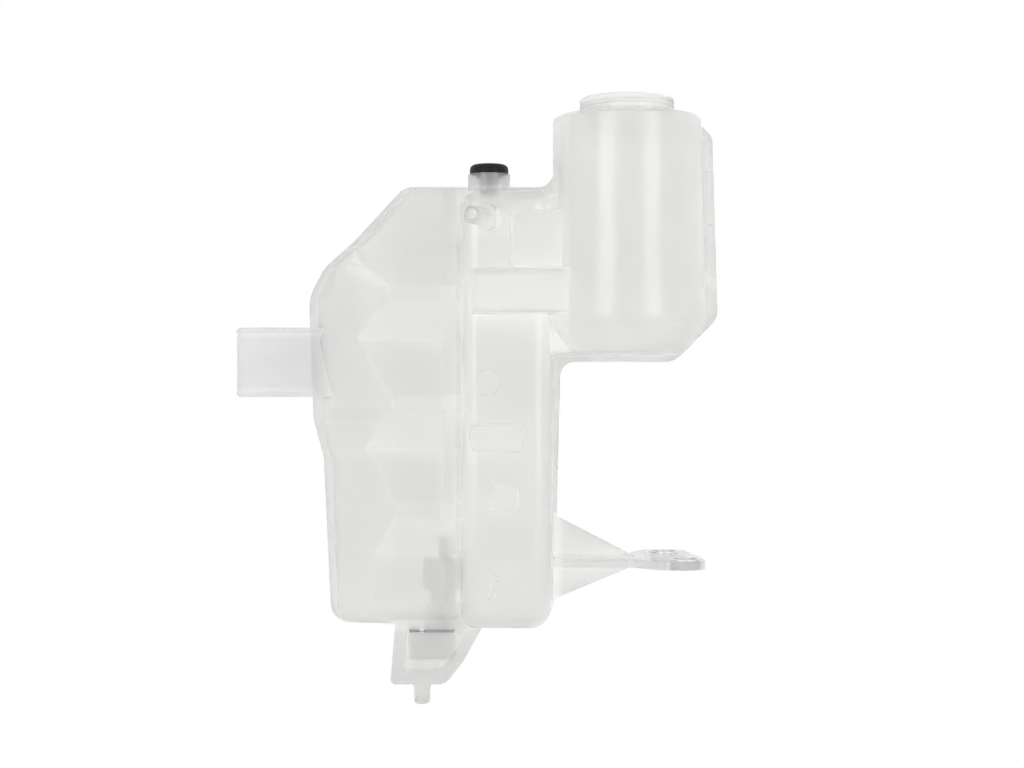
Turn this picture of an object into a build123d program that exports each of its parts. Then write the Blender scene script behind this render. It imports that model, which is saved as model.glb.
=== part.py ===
from build123d import *
import os
from math import cos, radians, sin, tan

os.makedirs("parts", exist_ok=True)

# Sizes are in millimetres. X runs to the right, Y from front to rear and Z up.
# The origin is on the axis of the locating peg, where its straight part starts.

# Walls of the tank and the welded seam between its halves
WALL = 3.0
LIP = 3.5
FLANGE = 3.0
OVERRUN = 1.0
TOUCHING = 0.000001

# Outline of the tank on the seam plane
TOP_Z = 299.0
BOTTOM_Z = 35.0
LOBE_BOTTOM_Z = 39.0
LOBE_TOP_X = -11.1
LOBE_SLOPE_X = -40.5
LOBE_SLOPE_Z = 267.0
LOBE_SHOULDER_X = -58.8
LOBE_SHOULDER_Z = 250.8
LOBE_CHEEK_X = -68.0
LOBE_CHEEK_Z = 233.0
LOBE_LEFT_X = -65.3
LOBE_STEP_Z = 160.0
LOBE_WAIST_X = -59.2
LOBE_WAIST_Z = 138.0
LOBE_FOOT_X = -54.6
COLUMN_RIGHT_X = 82.5
COLUMN_FOOT_X = 79.0
COLUMN_FOOT_Z = 56.0
COLUMN_TOE_X = 62.0
CHAMBER_RISE = 38.0
CHAMBER_HEIGHT = 142.5
CHAMBER_LEFT_X = 78.0
CHAMBER_RIGHT_X = 176.5
CHAMBER_SHOULDER_X = 173.3
CHAMBER_SLANT = 26.0
CHAMBER_CHAMFER = 8.0
CORNER_R = 12.0
BEND_R = 28.0
INNER_R = 9.0

# Left lobe with its stiffening ridges
RIDGE_PITCH = 62.0
RIDGE_DROP = 62.0
RIDGE_LAND = 8.0
RIDGE_DEPTH = 58.0
RIDGE_LEANS = (10.0, 10.0, 4.0)
VALLEY_DROP = 30.5
VALLEY_DEPTH = 42.0
VALLEY_LEAN = 3.5
CROWN_DEPTH = 30.0
CROWN_VALLEY_RISE = 23.0
CROWN_VALLEY_DEPTH = 40.0
SOLE_RISE = 13.5
SOLE_DEPTH = 40.0
SOLE_EDGE_DEPTH = 22.0
LOBE_SIDE_DEPTH = 15.0
FACET_TURN = 45.0
FACET_RUN = 0.86
CROWN_RUN = 0.2
LOBE_RIGHT_X = 14.0
LOBE_GROOVE_X = 21.0
LOBE_GROOVE = 5.0
LOBE_EDGE_R = 5.0
LOBE_OVERLAP = 14.0

# Column in the middle, with its raised pads and round boss
COLUMN_LEFT_X = 21.0
COLUMN_DEPTH = 58.0
COLUMN_DRAFT = 4.0
COLUMN_EDGE_R = 10.0
PAD_RISE = 3.0
PAD_EDGE_R = 2.0
PAD_CORNER_R = 4.0
UPPER_PAD_X = 45.0
UPPER_PAD_DROP = 148.3
UPPER_PAD_WIDTH = 34.0
UPPER_PAD_TAPER = 3.0
UPPER_PAD_HEIGHT = 17.0
LOWER_PAD_X = 49.5
LOWER_PAD_DROP = 182.5
LOWER_PAD_WIDTH = 17.0
LOWER_PAD_HEIGHT = 15.0
SLANT_RIB_X = 43.2
SLANT_RIB_DROP = 233.0
SLANT_RIB_WIDTH = 5.0
SLANT_RIB_LENGTH = 14.0
SLANT_RIB_TURN = 14.0
SLANT_RIB_RISE = 1.8
SLANT_RIB_EDGE_R = 1.4
DISC_X = 39.3
DISC_DROP = 117.2
DISC_R = 7.3
DISC_RISE = 1.8
DISC_EDGE_R = 1.2

# Filler chamber, its roof and the neck
CHAMBER_X = 119.5
CHAMBER_AXIS_DEPTH = 40.0
CHAMBER_R = 42.6
CHAMBER_FLARE = 3.4
CHAMBER_FLARE_RISE = 67.5
CHAMBER_FLARE_R = 90.0
CHAMBER_FOOT_RISE = 21.5
CHAMBER_FLOOR_R = 33.0
CHAMBER_FOOT_R = 12.0
CHAMBER_DRAFT = 12.0
CHAMBER_EDGE_R = 3.5
ROOF_RISE = 3.5
ROOF_EDGE_R = 2.5
NECK_R = 26.8
NECK_BORE_R = 23.4
NECK_HEIGHT = 8.0
NECK_EDGE_R = 1.0
NECK_SEAT = 1.2
SEAM_RIB_COUNT = 3
SEAM_RIB_PITCH = 32.0
SEAM_RIB_DROP = 28.0
SEAM_RIB = 1.5
SEAM_RIB_LENGTH = 12.0
SEAM_RIB_DEPTH = 9.0
SEAM_RIB_INSET = 1.5

# Two box ducts between the column and the filler chamber
JOINT_DEPTH = 50.0
JOINT_OVERLAP = 16.0
JOINT_EDGE_R = 2.0
JOINT_DROP = 6.0
LOWER_DUCT_RISE = 26.0
LOWER_DUCT_HEIGHT = 25.8
LOWER_DUCT_DEPTH = 70.0
LOWER_DUCT_LEFT_X = 31.0
LOWER_DUCT_BEND_X = 65.5
LOWER_DUCT_BEND = 3.0
LOWER_DUCT_EDGE_R = 1.5
UPPER_DUCT_HEIGHT = 33.5
UPPER_DUCT_DEPTH = 61.0
UPPER_DUCT_LEFT_X = 52.3
UPPER_DUCT_CORNER_R = 4.5
UPPER_DUCT_EDGE_R = 2.5

# Bleed boss on top and its screw
BLEED_X = 40.0
BLEED_DEPTH = 25.0
BLEED_BOSS_R = 12.3
BLEED_BOSS_RISE = 4.5
BLEED_BOSS = 19.5
BLEED_SHANK_R = 5.0
BLEED_SEAT_R = 7.4
BLEED_SEAT = 2.4
BLEED_CLEARANCE = 0.3
BLEED_SHANK = 14.0
BLEED_HEAD_R = 11.3
BLEED_HEAD = 5.8
BLEED_HEAD_EDGE_R = 3.0
BLEED_HEAD_FOOT_R = 0.8
BLEED_SLOT_WIDTH = 2.4
BLEED_SLOT_DEPTH = 2.5
BLEED_SEAL_GAP = 0.3

# Hose nipple on the front of the column
NIPPLE_X = 39.8
NIPPLE_DROP = 24.0
NIPPLE_LENGTH = 22.0
NIPPLE_TURN = 24.0
NIPPLE_R = 5.0
NIPPLE_BORE_R = 3.2
NIPPLE_FOOT_R = 7.5
NIPPLE_FOOT = 4.0
NIPPLE_ROOT = 2.0
NIPPLE_CHAMFER = 0.8

# Tongue on the left
TONGUE_LEFT_X = -109.2
TONGUE_BOTTOM_Z = 173.5
TONGUE_HEIGHT = 41.0
TONGUE_DEPTH = 12.0
TONGUE_PLATE = 4.0
TONGUE_BEAD = 3.0
TONGUE_BEAD_RISE = 2.5
TONGUE_CORNER_R = 3.0

# Bottom bracket and its locating peg
FOOT_LEFT_X = -18.3
FOOT_TOP_LEFT_X = -15.2
FOOT_RIGHT_X = 14.0
FOOT_SIDE_X = 24.5
FOOT_SIDE_Z = 17.5
FOOT_TOP_RIGHT_X = 39.0
FOOT_PLATE = 18.0
FOOT_RIM = 7.0
FOOT_BACK = 4.0
FOOT_SINK = 4.6
FOOT_CORNER_R = 3.0
FOOT_BEND_R = 9.0
FOOT_BOTTOM_Z = 4.2
FOOT_SLOT_X = 5.4
FOOT_SLOT_DROP = 4.6
FOOT_SLOT_WIDTH = 27.6
FOOT_SLOT_HEIGHT = 4.2
FOOT_SLOT_R = 1.5
PEG_R = 4.8
PEG_LENGTH = 8.6
PEG_TIP_R = 2.2

# Arm on the right with two bushed bolt holes
ARM_DEPTH = 17.0
ARM_WIDTH = 30.0
ARM_RISE = 44.6
ARM_PLATE = 5.0
ARM_CENTRE_X = 149.6
ARM_CENTRE_DEPTH = 12.0
BOLT_CIRCLE = 46.7
BOLT_ANGLE = -80.0
EYE_R = 12.8
BUSH_R = 8.7
BUSH_BORE_R = 6.9
BUSH_STAND = 0.5
BUSH_CLEARANCE = 0.05
ARM_FILLET = 10.0
ARM_NECK_X = 122.0
EYE_CORNER_R = 11.5
WEB = 4.0
WEB_RISE = 24.8
WEB_DROP = 25.0
WEB_END_X = 126.0
WEB_FILLET = 7.0

# Rear half
REAR_DEPTH = 30.0
REAR_EDGE_R = 6.0
BEAD_WIDTH = 8.0
BEAD_END_R = 3.6
BEAD_RISE = 2.5
BEAD_EDGE_R = 2.0
BEAD_LENGTH = 64.0
BAFFLE = 2.5
BAFFLE_DROP = 31.0
BAFFLE_RISE = 58.0
OUTLET_X = 52.0
OUTLET_RISE = 31.0
OUTLET_R = 10.0
OUTLET_BORE_R = 7.5
OUTLET_LENGTH = 28.0
OUTLET_CHAMFER = 1.0

# Level sensor in the bottom of the rear half
SENSOR_X = 11.8
SENSOR_BACK = 14.0
SENSOR_BOSS_R = 11.5
SENSOR_BOSS_DROP = 0.5
SENSOR_BOSS = 13.0
SENSOR_R = 8.0
SENSOR_CLEARANCE = 0.3
SENSOR_PLUG = 21.5
SENSOR_FLANGE_R = 12.0
SENSOR_FLANGE = 4.0
SENSOR_SEAL_R = 1.1
SENSOR_SEAL_GAP = 0.05
STEM_R = 3.5
STEM_BORE_R = 1.7
STEM_TIP = 2.0
SHROUD_WIDTH = 16.0
SHROUD_HEIGHT = 16.0
SHROUD_LENGTH = 28.0
SHROUD_REACH = 20.7
SHROUD_WALL = 2.0
SHROUD_CORNER_R = 2.0
SOCKET_DEPTH = 14.0
LATCH_LENGTH = 6.0
LATCH_WIDTH = 7.0
LATCH_RISE = 3.5
PIN_WIDTH = 2.8
PIN_THICK = 0.8
PIN_SPREAD = 6.0
PIN_LENGTH = 18.0
PIN_STAND = 9.0
FLOAT_R = 12.0
FLOAT_HEIGHT = 18.0
FLOAT_CLEARANCE = 0.5
FLOAT_EDGE_R = 2.0
FLOAT_TRAVEL = 11.5
FLOAT_STOP_GAP = 0.3
MAGNET_R = 7.0
MAGNET_WALL = 1.2
MAGNET_HEIGHT = 4.0
MAGNET_CLEARANCE = 0.05
CLIP_R = 6.0
CLIP_THICK = 1.0
CLIP_GRIP = 0.02
REED_R = 1.2
REED_TIP_R = 0.7
REED_LENGTH = 14.0
REED_LEAD_R = 0.3

# Places that follow from the sizes above; the peg is central in the bracket's thickness
SEAM_Y = FOOT_PLATE / 2
CHAMBER_Y = SEAM_Y - CHAMBER_AXIS_DEPTH
BLEED_Y = SEAM_Y - BLEED_DEPTH
ARM_Y = SEAM_Y - ARM_DEPTH
ARM_CENTRE_Y = SEAM_Y - ARM_CENTRE_DEPTH
SENSOR_Y = SEAM_Y + SENSOR_BACK
CHAMBER_TOP_Z = TOP_Z + CHAMBER_RISE
CHAMBER_BOTTOM_Z = CHAMBER_TOP_Z - CHAMBER_HEIGHT
ROOF_Z = CHAMBER_TOP_Z - LIP
NECK_FOOT_Z = ROOF_Z + ROOF_RISE
NECK_TOP_Z = NECK_FOOT_Z + NECK_HEIGHT
LOWER_DUCT_BOTTOM_Z = CHAMBER_BOTTOM_Z + LOWER_DUCT_RISE
LOWER_DUCT_TOP_Z = LOWER_DUCT_BOTTOM_Z + LOWER_DUCT_HEIGHT
RIDGE_TOP_Z = TOP_Z - RIDGE_DROP
BLEED_BOSS_TOP_Z = TOP_Z + BLEED_BOSS_RISE
BLEED_BOSS_FOOT_Z = BLEED_BOSS_TOP_Z - BLEED_BOSS
TONGUE_TOP_Z = TONGUE_BOTTOM_Z + TONGUE_HEIGHT
ARM_TOP_Z = BOTTOM_Z + ARM_RISE
SENSOR_BOSS_FOOT_Z = BOTTOM_Z - SENSOR_BOSS_DROP

FRONT = (0, -1, 0)
REAR = (0, 1, 0)
LEFT = (-1, 0, 0)
UP = (0, 0, 1)
SEAM = Plane(origin=(0, SEAM_Y, 0), x_dir=(1, 0, 0), z_dir=FRONT)


def rounded_face(plane, corners):
    """Flat face on a plane, through corners of x, y and corner radius."""
    points = [Vector(x, y) for x, y, radius in corners]
    arcs = []
    for index, (x, y, radius) in enumerate(corners):
        here = points[index]
        before = (points[index - 1] - here).normalized()
        after = (points[(index + 1) % len(points)] - here).normalized()
        half = radians(before.get_angle(after)) / 2
        reach = radius / tan(half)
        middle = here + (before + after).normalized() * (radius / sin(half) - radius)
        arcs.append((here + before * reach, middle, here + after * reach))
    edges = []
    for index, (start, middle, end) in enumerate(arcs):
        if corners[index][2] > 0:
            edges.append(ThreePointArc(start, middle, end))
        following = arcs[(index + 1) % len(arcs)][0]
        if (following - end).length > TOUCHING:
            edges.append(Line(end, following))
    return plane * make_face(edges)


def rectangle_corners(left, bottom, right, top, radius):
    return [(left, bottom, radius), (right, bottom, radius), (right, top, radius), (left, top, radius)]


def front_edges(solid):
    return solid.faces().sort_by(Axis.Y)[0].edges()


def rear_edges(solid):
    return solid.faces().sort_by(Axis.Y)[-1].edges()


def seam_outline(inset):
    """Outline of the tank on the seam plane, inset from the edge of the flange."""
    outline = rounded_face(
        SEAM,
        [
            (LOBE_TOP_X, TOP_Z, CORNER_R),
            (LOBE_SLOPE_X, LOBE_SLOPE_Z, BEND_R),
            (LOBE_SHOULDER_X, LOBE_SHOULDER_Z, BEND_R),
            (LOBE_CHEEK_X, LOBE_CHEEK_Z, BEND_R),
            (LOBE_LEFT_X, LOBE_STEP_Z, BEND_R),
            (LOBE_WAIST_X, LOBE_WAIST_Z, BEND_R),
            (LOBE_FOOT_X, LOBE_BOTTOM_Z, CORNER_R),
            (COLUMN_TOE_X, BOTTOM_Z, CORNER_R),
            (COLUMN_FOOT_X, COLUMN_FOOT_Z, CORNER_R),
            (COLUMN_RIGHT_X, CHAMBER_BOTTOM_Z, INNER_R),
            (CHAMBER_RIGHT_X - CHAMBER_SLANT, CHAMBER_BOTTOM_Z, CORNER_R),
            (CHAMBER_RIGHT_X, CHAMBER_BOTTOM_Z + CHAMBER_SLANT, CORNER_R),
            (CHAMBER_SHOULDER_X, CHAMBER_TOP_Z - CHAMBER_CHAMFER, INNER_R),
            (CHAMBER_SHOULDER_X - CHAMBER_CHAMFER, CHAMBER_TOP_Z, INNER_R),
            (CHAMBER_LEFT_X, CHAMBER_TOP_Z, CORNER_R),
            (CHAMBER_LEFT_X, TOP_Z, INNER_R),
        ],
    )
    return offset(outline, -inset) if inset else outline


def row_at(rows, z):
    """Row of values at a height, between the rows above and below it."""
    for upper, lower in zip(rows, rows[1:]):
        if z >= lower[0]:
            share = (upper[0] - z) / (upper[0] - lower[0])
            return [high + (low - high) * share for high, low in zip(upper, lower)]
    return rows[-1]


def lobe_edge():
    """Height and place of each corner down the left edge of the flange."""
    return [
        (TOP_Z, LOBE_TOP_X),
        (LOBE_SLOPE_Z, LOBE_SLOPE_X),
        (LOBE_SHOULDER_Z, LOBE_SHOULDER_X),
        (LOBE_CHEEK_Z, LOBE_CHEEK_X),
        (LOBE_STEP_Z, LOBE_LEFT_X),
        (LOBE_WAIST_Z, LOBE_WAIST_X),
        (LOBE_BOTTOM_Z, LOBE_FOOT_X),
    ]


def lobe_left_x(z):
    """Left edge of the flange at a height."""
    return row_at(lobe_edge(), z)[1]


def lobe_profile():
    """Height, depth, lean of the side and run of the facet, at each ridge and valley down the lobe."""
    rows = [
        (TOP_Z - LIP, CROWN_DEPTH, VALLEY_LEAN, CROWN_RUN),
        (RIDGE_TOP_Z + CROWN_VALLEY_RISE, CROWN_VALLEY_DEPTH, VALLEY_LEAN, CROWN_RUN),
    ]
    for z, lean in zip(ridge_heights(), RIDGE_LEANS):
        rows.append((z, RIDGE_DEPTH, lean, FACET_RUN))
        rows.append((z - RIDGE_LAND, RIDGE_DEPTH, lean, FACET_RUN))
        rows.append((z - VALLEY_DROP, VALLEY_DEPTH, VALLEY_LEAN, FACET_RUN))
    bottom = LOBE_BOTTOM_Z + LIP
    rows.append((bottom + SOLE_RISE, SOLE_DEPTH, VALLEY_LEAN, FACET_RUN))
    rows.append((bottom, SOLE_EDGE_DEPTH, VALLEY_LEAN, FACET_RUN))
    return rows


def ridge_heights():
    """Heights of the upper edges of the ridges."""
    return [RIDGE_TOP_Z - index * RIDGE_PITCH for index in range(len(RIDGE_LEANS))]


def lobe_section(z, inset):
    """Level section of the lobe: side wall, slanted facet, front and shoulder."""
    depth, lean, run = row_at(lobe_profile(), z)[1:]
    mitre = inset * tan(radians(FACET_TURN / 2))
    wall_x = lobe_left_x(z) + LIP
    side_x = wall_x + lean
    front_x = side_x + run * (depth - LOBE_SIDE_DEPTH)
    edge_r = LOBE_EDGE_R - inset
    end_x = LOBE_GROOVE_X + LOBE_OVERLAP
    seam_y = SEAM_Y + (OVERRUN if inset else 0)
    side_y = SEAM_Y - LOBE_SIDE_DEPTH + mitre
    front_y = SEAM_Y - depth + inset
    groove_y = front_y + LOBE_GROOVE
    corners = [
        (wall_x + inset, seam_y, 0),
        (side_x + inset, side_y, edge_r),
        (front_x + mitre, front_y, edge_r),
        (LOBE_RIGHT_X - mitre, front_y, edge_r),
        (LOBE_GROOVE_X - mitre, groove_y, edge_r / 2),
        (end_x, groove_y, 0),
        (end_x, seam_y, 0),
    ]
    return rounded_face(Plane.XY.offset(z), corners)


def lobe(inset):
    """Left lobe, lofted through its ridges and valleys and the corners of its edge."""
    top = TOP_Z - LIP - inset
    bottom = LOBE_BOTTOM_Z + LIP + inset
    turns = sorted((row[0] for row in lobe_profile() + lobe_edge()), reverse=True)
    heights = [top, *(z for z in turns if bottom < z < top), bottom]
    return loft([lobe_section(z, inset) for z in heights], ruled=True)


def column(inset):
    """Upright column with drafted sides and a rounded front."""
    left = COLUMN_LEFT_X + inset
    right = COLUMN_RIGHT_X - LIP - inset
    bottom = BOTTOM_Z + LIP + inset
    top = TOP_Z - LIP - inset
    radius = CORNER_R - inset
    corners = rectangle_corners(left, bottom, right, top, radius)
    corners[1] = (right, bottom, radius + LIP)
    body = extrude(rounded_face(SEAM, corners), COLUMN_DEPTH - inset, dir=FRONT, taper=COLUMN_DRAFT)
    return fillet(front_edges(body), COLUMN_EDGE_R - inset)


def chamber_back_face(depth, lean, inset):
    """Outline of the back of the filler chamber at a depth, its sides leaning in."""
    left = CHAMBER_LEFT_X + LIP + lean + inset
    right = CHAMBER_RIGHT_X - LIP - lean - inset
    shoulder = CHAMBER_SHOULDER_X - LIP - lean - inset
    bottom = CHAMBER_BOTTOM_Z + LIP + lean + inset
    radius = CORNER_R - inset
    corners = [
        (left, bottom, radius),
        (right - CHAMBER_SLANT, bottom, radius),
        (right, bottom + CHAMBER_SLANT, radius),
        (shoulder, ROOF_Z - inset, radius),
        (left, ROOF_Z - inset, radius),
    ]
    return rounded_face(SEAM.offset(depth), corners)


def chamber_back(inset):
    """Tapered box that joins the round filler chamber to the seam, its top level with the roof."""
    lean = CHAMBER_AXIS_DEPTH * tan(radians(CHAMBER_DRAFT))
    back = chamber_back_face(0, 0, inset)
    front = chamber_back_face(CHAMBER_AXIS_DEPTH - inset, lean, inset)
    body = loft([back, front], ruled=True)
    return fillet(front_edges(body), CHAMBER_EDGE_R)


def chamber_round(inset):
    """Round filler chamber, flared to its foot, with a shallow cone for a roof."""
    plane = Plane(origin=(CHAMBER_X, CHAMBER_Y, 0), x_dir=(1, 0, 0), z_dir=FRONT)
    floor_z = CHAMBER_BOTTOM_Z + LIP + inset
    foot_z = CHAMBER_BOTTOM_Z + CHAMBER_FOOT_RISE
    flare_z = CHAMBER_BOTTOM_Z + CHAMBER_FLARE_RISE
    foot_r = CHAMBER_R + CHAMBER_FLARE - inset
    wall_r = CHAMBER_R - inset
    roof_z = ROOF_Z - inset
    profile = rounded_face(
        plane,
        [
            (0, floor_z, 0),
            (CHAMBER_FLOOR_R - inset, floor_z, CHAMBER_FOOT_R),
            (foot_r, foot_z, CHAMBER_FOOT_R),
            (wall_r, flare_z, CHAMBER_FLARE_R),
            (wall_r, roof_z, ROOF_EDGE_R),
            (NECK_R, roof_z + ROOF_RISE, 0),
            (0, roof_z + ROOF_RISE, 0),
        ],
    )
    body = revolve(profile, Axis((CHAMBER_X, CHAMBER_Y, 0), UP))
    reach = 2 * CHAMBER_R
    behind = Pos(CHAMBER_X, SEAM_Y + reach, ROOF_Z) * Box(2 * reach, 2 * reach, 2 * ROOF_Z)
    return body - behind


def block(left, bottom, right, top, radius, depth, edge_r, inset, taper=0):
    """Raised block from the seam plane to a depth, with its front edges rounded."""
    corners = rectangle_corners(left + inset, bottom + inset, right - inset, top - inset, radius)
    corners[0] = (left + inset + taper, bottom + inset, radius)
    corners[1] = (right - inset - taper, bottom + inset, radius)
    body = extrude(rounded_face(SEAM, corners), depth - inset, dir=FRONT)
    return fillet(front_edges(body), edge_r)


def joint(inset):
    """Shallow box between the column and the filler chamber, behind the ducts."""
    left = COLUMN_RIGHT_X - JOINT_OVERLAP
    bottom = CHAMBER_BOTTOM_Z + LIP
    top = TOP_Z - LIP - JOINT_DROP
    return block(left, bottom, CHAMBER_X, top, JOINT_EDGE_R, JOINT_DEPTH, JOINT_EDGE_R, inset)


def lower_duct(inset):
    """Deep box duct, its front bent back towards the filler chamber."""
    front_y = SEAM_Y - LOWER_DUCT_DEPTH + inset
    left = LOWER_DUCT_LEFT_X + inset
    plan = rounded_face(
        Plane.XY.offset(LOWER_DUCT_BOTTOM_Z + inset),
        [
            (left, SEAM_Y, 0),
            (left, front_y, LOWER_DUCT_EDGE_R),
            (LOWER_DUCT_BEND_X, front_y, 0),
            (CHAMBER_X, front_y + LOWER_DUCT_BEND, 0),
            (CHAMBER_X, SEAM_Y, 0),
        ],
    )
    body = extrude(plan, LOWER_DUCT_HEIGHT - 2 * inset, dir=UP)
    levels = body.faces().sort_by(Axis.Z)
    return fillet(levels[0].edges() + levels[-1].edges(), LOWER_DUCT_EDGE_R)


def upper_duct(inset):
    """Shallower box duct above the other."""
    left = UPPER_DUCT_LEFT_X
    bottom = LOWER_DUCT_TOP_Z
    top = bottom + UPPER_DUCT_HEIGHT
    corner_r = UPPER_DUCT_CORNER_R
    return block(left, bottom, CHAMBER_X, top, corner_r, UPPER_DUCT_DEPTH, UPPER_DUCT_EDGE_R, inset)


def column_pads(inset):
    """Two raised pads on the front of the column, the upper one narrower below."""
    depth = COLUMN_DEPTH + PAD_RISE
    pads = []
    for x, z, width, height, taper in (
        (UPPER_PAD_X, TOP_Z - UPPER_PAD_DROP, UPPER_PAD_WIDTH, UPPER_PAD_HEIGHT, UPPER_PAD_TAPER),
        (LOWER_PAD_X, TOP_Z - LOWER_PAD_DROP, LOWER_PAD_WIDTH, LOWER_PAD_HEIGHT, 0),
    ):
        sides = (x - width / 2, z - height / 2, x + width / 2, z + height / 2)
        pads.append(block(*sides, PAD_CORNER_R, depth, PAD_EDGE_R, inset, taper))
    return pads[0] + pads[1]


def slant_rib():
    """Short slanted rib low on the front of the column."""
    centre = (SLANT_RIB_X, SEAM_Y - COLUMN_DEPTH + WALL, TOP_Z - SLANT_RIB_DROP)
    face = Plane(origin=centre, x_dir=(1, 0, 0), z_dir=FRONT)
    outline = RectangleRounded(SLANT_RIB_WIDTH, SLANT_RIB_LENGTH, SLANT_RIB_EDGE_R)
    body = extrude(face * Rot(0, 0, -SLANT_RIB_TURN) * outline, WALL + SLANT_RIB_RISE)
    return fillet(front_edges(body), SLANT_RIB_EDGE_R)


def tank_form(inset):
    """Outer form of the front half, or with an inset the space inside it."""
    form = lobe(inset) + column(inset) + chamber_back(inset) + chamber_round(inset)
    return form + joint(inset) + lower_duct(inset) + upper_duct(inset) + column_pads(inset)


def upright(x, y, bottom, top, radius):
    return Pos(x, y, (bottom + top) / 2) * Cylinder(radius, top - bottom)


def disc_boss():
    """Round raised disc on the front of the column."""
    centre = (DISC_X, SEAM_Y - COLUMN_DEPTH + WALL, TOP_Z - DISC_DROP)
    face = Plane(origin=centre, x_dir=(1, 0, 0), z_dir=FRONT)
    disc = extrude(face * Circle(DISC_R), WALL + DISC_RISE)
    return fillet(front_edges(disc), DISC_EDGE_R)


def seam_ribs():
    """Short ribs between the side of the filler chamber and the flange."""
    side_top = CHAMBER_TOP_Z - CHAMBER_CHAMFER
    side_height = CHAMBER_HEIGHT - CHAMBER_CHAMFER - CHAMBER_SLANT
    ribs = []
    for index in range(SEAM_RIB_COUNT):
        z = CHAMBER_TOP_Z - SEAM_RIB_DROP - index * SEAM_RIB_PITCH
        share = (side_top - z) / side_height
        edge_x = CHAMBER_SHOULDER_X + (CHAMBER_RIGHT_X - CHAMBER_SHOULDER_X) * share
        middle_x = edge_x - SEAM_RIB_INSET - SEAM_RIB_LENGTH / 2
        middle = (middle_x, SEAM_Y - SEAM_RIB_DEPTH / 2, z)
        ribs.append(Pos(middle) * Box(SEAM_RIB_LENGTH, SEAM_RIB_DEPTH, SEAM_RIB))
    return ribs


def filler_hole():
    """Round hole in the roof under the neck."""
    return upright(CHAMBER_X, CHAMBER_Y, ROOF_Z - 2 * WALL, NECK_TOP_Z, NECK_BORE_R + NECK_SEAT)


def filler_neck():
    """Round neck welded on the roof of the filler chamber."""
    tube = upright(CHAMBER_X, CHAMBER_Y, NECK_FOOT_Z, NECK_TOP_Z, NECK_R)
    tube = fillet(tube.faces().sort_by(Axis.Z)[-1].edges(), NECK_EDGE_R)
    bore = upright(CHAMBER_X, CHAMBER_Y, NECK_FOOT_Z - OVERRUN, NECK_TOP_Z + OVERRUN, NECK_BORE_R)
    return tube - bore


def bleed_boss():
    return upright(BLEED_X, BLEED_Y, BLEED_BOSS_FOOT_Z, BLEED_BOSS_TOP_Z, BLEED_BOSS_R)


def bleed_bore():
    bore_r = BLEED_SHANK_R + BLEED_CLEARANCE
    bore = upright(BLEED_X, BLEED_Y, BLEED_BOSS_FOOT_Z - OVERRUN, BLEED_BOSS_TOP_Z + OVERRUN, bore_r)
    seat_z = BLEED_BOSS_TOP_Z - BLEED_SEAT
    seat = upright(BLEED_X, BLEED_Y, seat_z, BLEED_BOSS_TOP_Z + OVERRUN, BLEED_SEAT_R)
    return bore + seat


def nipple_plane():
    """Plane at the foot of the hose nipple, facing the way it points."""
    way = (-sin(radians(NIPPLE_TURN)), -cos(radians(NIPPLE_TURN)), 0)
    return Plane(origin=(NIPPLE_X, SEAM_Y - COLUMN_DEPTH, TOP_Z - NIPPLE_DROP), x_dir=UP, z_dir=way)


def nipple():
    plane = nipple_plane()
    root = plane.offset(-NIPPLE_ROOT)
    tube = extrude(root * Circle(NIPPLE_R), NIPPLE_ROOT + NIPPLE_LENGTH)
    tube = chamfer(tube.faces().sort_by(Axis.Y)[0].edges(), NIPPLE_CHAMFER)
    foot = extrude(root * Circle(NIPPLE_FOOT_R), NIPPLE_ROOT + NIPPLE_FOOT)
    return tube + foot


def nipple_bore():
    root = NIPPLE_ROOT + 2 * WALL
    return extrude(nipple_plane().offset(-root) * Circle(NIPPLE_BORE_R), root + NIPPLE_LENGTH + OVERRUN)


def tongue():
    """Flat tongue on the left, stiffened by a bead along its top and its bottom."""
    plane = SEAM.offset(TONGUE_DEPTH - TONGUE_PLATE / 2)
    right = lobe_left_x((TONGUE_BOTTOM_Z + TONGUE_TOP_Z) / 2) + LIP + max(RIDGE_LEANS) + WALL / 2
    sides = [
        (TONGUE_LEFT_X, TONGUE_BOTTOM_Z, TONGUE_CORNER_R),
        (right, TONGUE_BOTTOM_Z, 0),
        (right, TONGUE_TOP_Z, 0),
        (TONGUE_LEFT_X, TONGUE_TOP_Z, TONGUE_CORNER_R),
    ]
    outline = rounded_face(plane, sides)
    plate = extrude(outline, TONGUE_PLATE, dir=FRONT)
    edge = extrude(outline, TONGUE_PLATE + TONGUE_BEAD_RISE, dir=FRONT)
    middle_z = (TONGUE_BOTTOM_Z + TONGUE_TOP_Z) / 2
    height = TONGUE_TOP_Z - TONGUE_BOTTOM_Z - 2 * TONGUE_BEAD
    length = 2 * (right - TONGUE_LEFT_X)
    between = Pos(TONGUE_LEFT_X, SEAM_Y - TONGUE_DEPTH, middle_z) * Box(length, length, height)
    return plate + (edge - between)


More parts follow.
